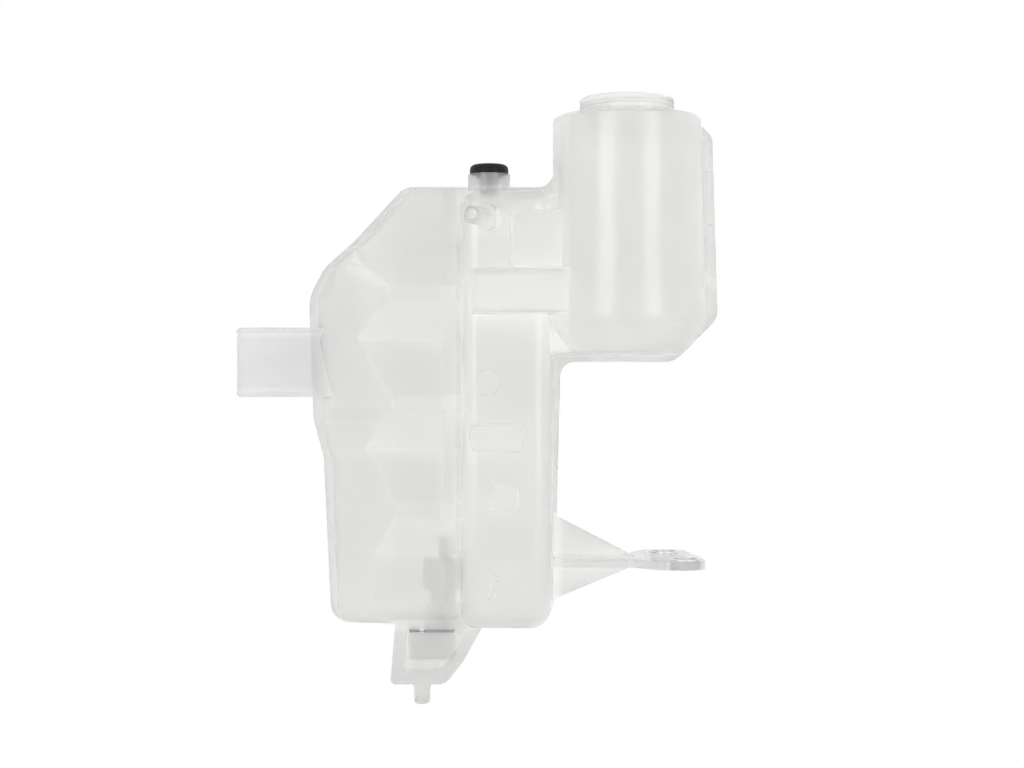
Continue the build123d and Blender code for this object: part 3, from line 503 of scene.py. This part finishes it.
def milky_plastic(settings):
    """Natural plastic that lets light through, cloudy and a little uneven, with painted highlight
    and painted shade in some places.
    """
    material, tree, shader = new_material("milky_plastic")
    place = surface_place(tree)
    tone = clouds(tree, place, settings.cloud, settings.colour)
    # Painted light: paler ducts and pads stand in for a highlight, and darker plates, stub and
    # tongue stand in for shade.
    for painted_tone, soft, bounds in PAINTED_LIGHT_PLACES.values():
        away = outside(tree, place, soft, bounds)
        tone = blend_tones(tree, away, getattr(settings, painted_tone), tone)
    coat(tree, shader, tone, dull_places(tree, place, settings.gloss_low, settings.gloss_high))
    scatter_light(shader, settings)
    set_inputs(shader, {"IOR": PLASTIC_IOR, "Alpha": settings.body})
    return material


def neck_plastic(settings):
    """The same plastic in the narrow neck, where it passes more light and blurs it."""
    material, tree, shader = new_material("neck_plastic")
    place = surface_place(tree)
    tone = clouds(tree, place, settings.colour, settings.painted_highlight_and_neck_cloud)
    coat(tree, shader, tone, dull_places(tree, place, low=0.57, high=0.63))
    scatter_light(shader, settings)
    set_inputs(shader, {
        "IOR": NECK_IOR,
        "Alpha": settings.neck_body,
        "Transmission Weight": settings.neck_clear,
    })
    return material


def black_plastic():
    """Satin black plastic with a fine spark-eroded grain."""
    material, tree, shader = new_material("black_plastic")
    place = surface_place(tree)
    noise = grain(tree, place, scale=160.0, detail=3.0)
    tone = two_tone(tree, noise, low=(0.010, 0.010, 0.011), high=(0.020, 0.020, 0.022))
    coat(tree, shader, tone, spread(tree, noise, low=0.38, high=0.52))
    fine = grain(tree, place, scale=2600.0, detail=2.0)
    bump(tree, shader, fine, strength=0.25, distance=0.0001)
    set_inputs(shader, {"Specular IOR Level": 0.2})
    return material


def sensor_plastic():
    """Pale blue-grey plastic of the stem and flange, over the paler housing of the connector."""
    material, tree, shader = new_material("sensor_plastic")
    place = surface_place(tree)
    noise = grain(tree, place, scale=160.0, detail=3.0)
    stem = two_tone(tree, noise, low=(0.84, 0.87, 0.92), high=(0.90, 0.92, 0.96))
    above = past_edge(tree, place, "Z", start=0.0300, end=0.0304)
    tone = blend_tones(tree, above, (0.93, 0.93, 0.92), stem)
    coat(tree, shader, tone, spread(tree, noise, low=0.38, high=0.52))
    fine = grain(tree, place, scale=2600.0, detail=2.0)
    bump(tree, shader, fine, strength=0.25, distance=0.0001)
    return material


def seal_rubber():
    """Dull black rubber with a trace of grey bloom."""
    material, tree, shader = new_material("seal_rubber")
    place = surface_place(tree)
    noise = grain(tree, place, scale=420.0, detail=3.0)
    tone = two_tone(tree, noise, low=(0.012, 0.012, 0.012), high=(0.035, 0.034, 0.033))
    coat(tree, shader, tone, spread(tree, noise, low=0.6, high=0.8))
    fine = grain(tree, place, scale=3000.0, detail=2.0)
    bump(tree, shader, fine, strength=0.2, distance=0.0001)
    return material


def plated_steel():
    """Zinc-plated steel, turned, with fine marks around the bore."""
    material, tree, shader = new_material("plated_steel")
    place = surface_place(tree)
    noise = grain(tree, place, scale=240.0, detail=3.0)
    tone = two_tone(tree, noise, low=(0.74, 0.74, 0.73), high=(0.86, 0.86, 0.85))
    marks = grain(tree, place, scale=300.0, detail=2.0, stretch=(1.0, 1.0, 12.0))
    coat(tree, shader, tone, spread(tree, marks, low=0.28, high=0.45))
    bump(tree, shader, marks, strength=0.15, distance=0.0001)
    set_inputs(shader, {"Metallic": 1.0})
    return material


def float_foam():
    """Cream closed-cell foam."""
    material, tree, shader = new_material("float_foam")
    place = surface_place(tree)
    noise = grain(tree, place, scale=300.0, detail=4.0)
    tone = two_tone(tree, noise, low=(0.95, 0.91, 0.83), high=(0.99, 0.96, 0.89))
    coat(tree, shader, tone, spread(tree, noise, low=0.7, high=0.85))
    cells = grain(tree, place, scale=1400.0, detail=2.0)
    bump(tree, shader, cells, strength=0.4, distance=0.0003)
    return material


def ferrite():
    """Dark grey sintered magnet."""
    material, tree, shader = new_material("ferrite")
    noise = grain(tree, surface_place(tree), scale=700.0, detail=4.0)
    tone = two_tone(tree, noise, low=(0.045, 0.045, 0.05), high=(0.085, 0.085, 0.09))
    coat(tree, shader, tone, spread(tree, noise, low=0.45, high=0.65))
    bump(tree, shader, noise, strength=0.2, distance=0.0001)
    return material


def reed_glass():
    """Clear greenish glass of the switch."""
    material, tree, shader = new_material("reed_glass")
    noise = grain(tree, surface_place(tree), scale=500.0, detail=2.0)
    tone = two_tone(tree, noise, low=(0.80, 0.88, 0.83), high=(0.88, 0.94, 0.90))
    coat(tree, shader, tone, spread(tree, noise, low=0.04, high=0.10))
    set_inputs(shader, {"Transmission Weight": 0.85})
    return material


def pin_brass():
    """Stamped brass of the contacts."""
    material, tree, shader = new_material("pin_brass")
    noise = grain(tree, surface_place(tree), scale=600.0, detail=3.0, stretch=(0.2, 1.0, 1.0))
    tone = two_tone(tree, noise, low=(0.62, 0.45, 0.19), high=(0.78, 0.60, 0.30))
    coat(tree, shader, tone, spread(tree, noise, low=0.25, high=0.4))
    set_inputs(shader, {"Metallic": 1.0})
    return material


def finish_node(name, material):
    """Gives a CAD node its only material."""
    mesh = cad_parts[name].data
    mesh.materials.clear()
    mesh.materials.append(material)


def helix(name, material, axis, radius, height, pitch, bottom, top, steps):
    """Screw thread: a small ridge spun up around an axis, faded into the wall at both ends."""
    mesh = bmesh.new()
    half = pitch * THREAD_HALF_FOOT
    sunk = radius - height * THREAD_SINK
    crest = radius + height
    flat = half * THREAD_CREST
    outline = [(sunk, -half), (crest, -flat), (crest, flat), (sunk, half)]
    start = bottom + half
    corners = [mesh.verts.new((axis.x + r, axis.y, start + z)) for r, z in outline]
    pairs = zip(corners, corners[1:] + corners[:1])
    edges = [mesh.edges.new(pair) for pair in pairs]
    turns = (top - bottom - 2 * half) / pitch
    count = max(3, round(turns * steps))
    spun = bmesh.ops.spin(
        mesh,
        geom=corners + edges,
        cent=(axis.x, axis.y, 0.0),
        axis=(0.0, 0.0, 1.0),
        dvec=Vector((0.0, 0.0, turns * pitch / count)),
        angle=turns * 2 * math.pi,
        steps=count,
        use_merge=False,
        use_duplicate=False,
    )
    last = [item for item in spun["geom_last"] if isinstance(item, bmesh.types.BMVert)]
    for ring in (corners, last):
        for vert in ring:
            out = Vector((vert.co.x - axis.x, vert.co.y - axis.y, 0.0))
            shift = out.normalized() * (sunk - out.length)
            bmesh.ops.translate(mesh, verts=[vert], vec=shift)
        bmesh.ops.contextual_create(mesh, geom=ring)
    bmesh.ops.recalc_face_normals(mesh, faces=mesh.faces)
    return add_piece(name, mesh, material)


def add_piece(name, mesh, material):
    """Object from a finished bmesh, with smooth faces and sharp creases."""
    data = bpy.data.meshes.new(name)
    mesh.to_mesh(data)
    mesh.free()
    data.shade_smooth()
    data.set_sharp_from_angle(angle=CREASE_ANGLE)
    data.materials.append(material)
    piece = bpy.data.objects.new(name, data)
    bpy.context.scene.collection.objects.link(piece)
    return piece


class TANK_OT_shells(bpy.types.Operator):
    """Finish both halves of the tank and its neck, and add the neck's thread"""

    bl_idname = "object.tank_shells"
    bl_label = "Tank and neck"

    def execute(self, context):
        looks = context.scene.tank_plastic
        plastic = milky_plastic(looks)
        for name in ("front_shell", "rear_shell"):
            finish_node(name, plastic)
        clear = neck_plastic(looks)
        finish_node("filler_neck", clear)
        low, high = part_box("filler_neck")
        sizes = context.scene.tank_threads
        thread = helix(
            "neck_thread",
            clear,
            axis=(low + high) / 2,
            radius=(high.x - low.x) / 2,
            height=sizes.neck_height,
            pitch=sizes.neck_pitch,
            bottom=low.z + NECK_BARE_BOTTOM,
            top=high.z - NECK_BARE_TOP,
            steps=sizes.steps,
        )
        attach(thread, "tank")
        return {"FINISHED"}


class TANK_OT_bleed_screw(bpy.types.Operator):
    """Finish the bleed screw and its seal, and add the screw's thread"""

    bl_idname = "object.tank_bleed_screw"
    bl_label = "Bleed screw"

    def execute(self, context):
        black = black_plastic()
        finish_node("bleed_screw", black)
        finish_node("bleed_seal", seal_rubber())
        low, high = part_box("bleed_screw")
        sizes = context.scene.tank_threads
        thread = helix(
            "bleed_thread",
            black,
            axis=(low + high) / 2,
            radius=sizes.bleed_radius,
            height=sizes.bleed_height,
            pitch=sizes.bleed_pitch,
            bottom=low.z + BLEED_BARE_BOTTOM,
            top=low.z + sizes.bleed_length,
            steps=sizes.steps,
        )
        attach(thread, "bleed_plug")
        return {"FINISHED"}


class TANK_OT_bushes(bpy.types.Operator):
    """Finish the two steel bushes in the arm"""

    bl_idname = "object.tank_bushes"
    bl_label = "Bracket bushes"

    def execute(self, context):
        steel = plated_steel()
        for name in ("bracket_bush_front", "bracket_bush_rear"):
            finish_node(name, steel)
        return {"FINISHED"}


class TANK_OT_level_sensor(bpy.types.Operator):
    """Finish the level sensor with its float"""

    bl_idname = "object.tank_level_sensor"
    bl_label = "Level sensor"

    def execute(self, context):
        finish_node("sensor_housing", sensor_plastic())
        finish_node("sensor_seal", seal_rubber())
        finish_node("sensor_float", float_foam())
        finish_node("float_magnet", ferrite())
        finish_node("float_clip", plated_steel())
        finish_node("reed_switch", reed_glass())
        finish_node("sensor_pins", pin_brass())
        return {"FINISHED"}


def white_surrounding(front_level, rear_level):
    """White world: full white where it is seen; as a light, strong from behind, faint in front."""
    world = bpy.data.worlds.new("studio")
    world.use_nodes = True
    tree = world.node_tree
    tree.nodes.clear()
    way = tree.nodes.new("ShaderNodeSeparateXYZ")
    around = tree.nodes.new("ShaderNodeTexCoord").outputs["Generated"]
    tree.links.new(around, way.inputs["Vector"])
    fade = tree.nodes.new("ShaderNodeMapRange")
    fade.interpolation_type = "SMOOTHSTEP"
    set_inputs(fade, {
        "From Min": -1.0,
        "From Max": 1.0,
        "To Min": front_level,
        "To Max": rear_level,
    })
    tree.links.new(way.outputs["Y"], fade.inputs["Value"])
    seen = tree.nodes.new("ShaderNodeBackground")
    light = tree.nodes.new("ShaderNodeBackground")
    for node in (seen, light):
        set_inputs(node, {"Color": WHITE})
    tree.links.new(fade.outputs["Result"], light.inputs["Strength"])
    path = tree.nodes.new("ShaderNodeLightPath")
    rays = [path.outputs[f"Is {kind} Ray"] for kind in ("Camera", "Glossy", "Transmission")]
    mix = tree.nodes.new("ShaderNodeMixShader")
    tree.links.new(largest(tree, rays), mix.inputs["Fac"])
    tree.links.new(light.outputs["Background"], mix.inputs[1])
    tree.links.new(seen.outputs["Background"], mix.inputs[2])
    output = tree.nodes.new("ShaderNodeOutputWorld")
    tree.links.new(mix.outputs["Shader"], output.inputs["Surface"])
    return world


def strip_light(name, side, settings):
    """Upright soft light in front of the tank, to one side of the filler chamber."""
    low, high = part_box("filler_neck")
    middle = (low + high) / 2
    lamp = bpy.data.lights.new(name, "AREA")
    lamp.shape = "RECTANGLE"
    lamp.size, lamp.size_y = settings.strip_size
    lamp.energy = settings.strip_level
    angle = settings.strip_angle * side
    holder = bpy.data.objects.new(name, lamp)
    bpy.context.scene.collection.objects.link(holder)
    out = Vector((math.sin(angle), -math.cos(angle), 0.0)) * settings.strip_reach
    place = Matrix.Translation((middle.x + out.x, middle.y + out.y, settings.strip_z))
    turn = Matrix.Rotation(angle, 4, "Z") @ Matrix.Rotation(UPRIGHT, 4, "X")
    holder.matrix_world = place @ turn


def studio_floor(settings):
    """Plain pale floor that keeps the shadow."""
    material, tree, shader = new_material("studio_floor")
    noise = grain(tree, surface_place(tree), scale=3.0, detail=2.0)
    shade = [FLOOR_SHADE * level for level in settings.floor_colour]
    tone = two_tone(tree, noise, shade, settings.floor_colour)
    tree.links.new(tone, shader.inputs["Base Color"])
    set_inputs(shader, {"Roughness": 0.9})
    mesh = bmesh.new()
    bmesh.ops.create_grid(mesh, x_segments=2, y_segments=2, size=FLOOR_REACH)
    bmesh.ops.translate(mesh, verts=mesh.verts, vec=(*FLOOR_MIDDLE, settings.floor_z))
    return add_piece("floor", mesh, material)


def front_camera(settings):
    """Camera in front of the tank that looks straight to the rear."""
    lens = bpy.data.cameras.new("camera")
    lens.sensor_fit = "HORIZONTAL"
    lens.sensor_width = SENSOR_WIDTH
    lens.lens = settings.lens
    lens.clip_end = VIEW_END
    camera = bpy.data.objects.new("camera", lens)
    camera.location = settings.camera_place
    camera.rotation_euler = (UPRIGHT, 0.0, 0.0)
    bpy.context.scene.collection.objects.link(camera)
    return camera


class TANK_OT_stage(bpy.types.Operator):
    """Set up the floor, the light and the camera"""

    bl_idname = "object.tank_stage"
    bl_label = "Stage"

    def execute(self, context):
        scene = context.scene
        settings = scene.tank_stage
        scene.view_settings.view_transform = "Standard"
        scene.world = white_surrounding(settings.front_level, settings.rear_level)
        strip_light("strip_left", -1, settings)
        strip_light("strip_right", 1, settings)
        floor = studio_floor(settings)
        scene.camera = front_camera(settings)
        return {"FINISHED"}


class TANK_PT_sidebar(bpy.types.Panel):
    """Lists the steps and their settings"""

    bl_idname = "TANK_PT_sidebar"
    bl_label = "Expansion tank"
    bl_space_type = "VIEW_3D"
    bl_region_type = "UI"
    bl_category = "Tank"

    def draw(self, context):
        scene = context.scene
        for operator in OPERATORS:
            self.layout.operator(operator.bl_idname)
        for group in (scene.tank_plastic, scene.tank_threads, scene.tank_stage):
            box = self.layout.box()
            for name in group.__annotations__:
                box.prop(group, name)


SETTINGS = {
    "tank_plastic": TankPlasticSettings,
    "tank_threads": ThreadSettings,
    "tank_stage": StageSettings,
}
OPERATORS = (
    TANK_OT_shells,
    TANK_OT_bleed_screw,
    TANK_OT_bushes,
    TANK_OT_level_sensor,
    TANK_OT_stage,
)


def register():
    for group in SETTINGS.values():
        bpy.utils.register_class(group)
    for name, group in SETTINGS.items():
        setattr(bpy.types.Scene, name, PointerProperty(type=group))
    for cls in (*OPERATORS, TANK_PT_sidebar):
        bpy.utils.register_class(cls)


def unregister():
    for cls in (TANK_PT_sidebar, *reversed(OPERATORS)):
        bpy.utils.unregister_class(cls)
    for name in SETTINGS:
        delattr(bpy.types.Scene, name)
    for group in reversed(list(SETTINGS.values())):
        bpy.utils.unregister_class(group)


def main():
    register()
    bpy.ops.object.tank_shells()
    bpy.ops.object.tank_bleed_screw()
    bpy.ops.object.tank_bushes()
    bpy.ops.object.tank_level_sensor()
    bpy.ops.object.tank_stage()


if __name__ == "__main__":
    main()
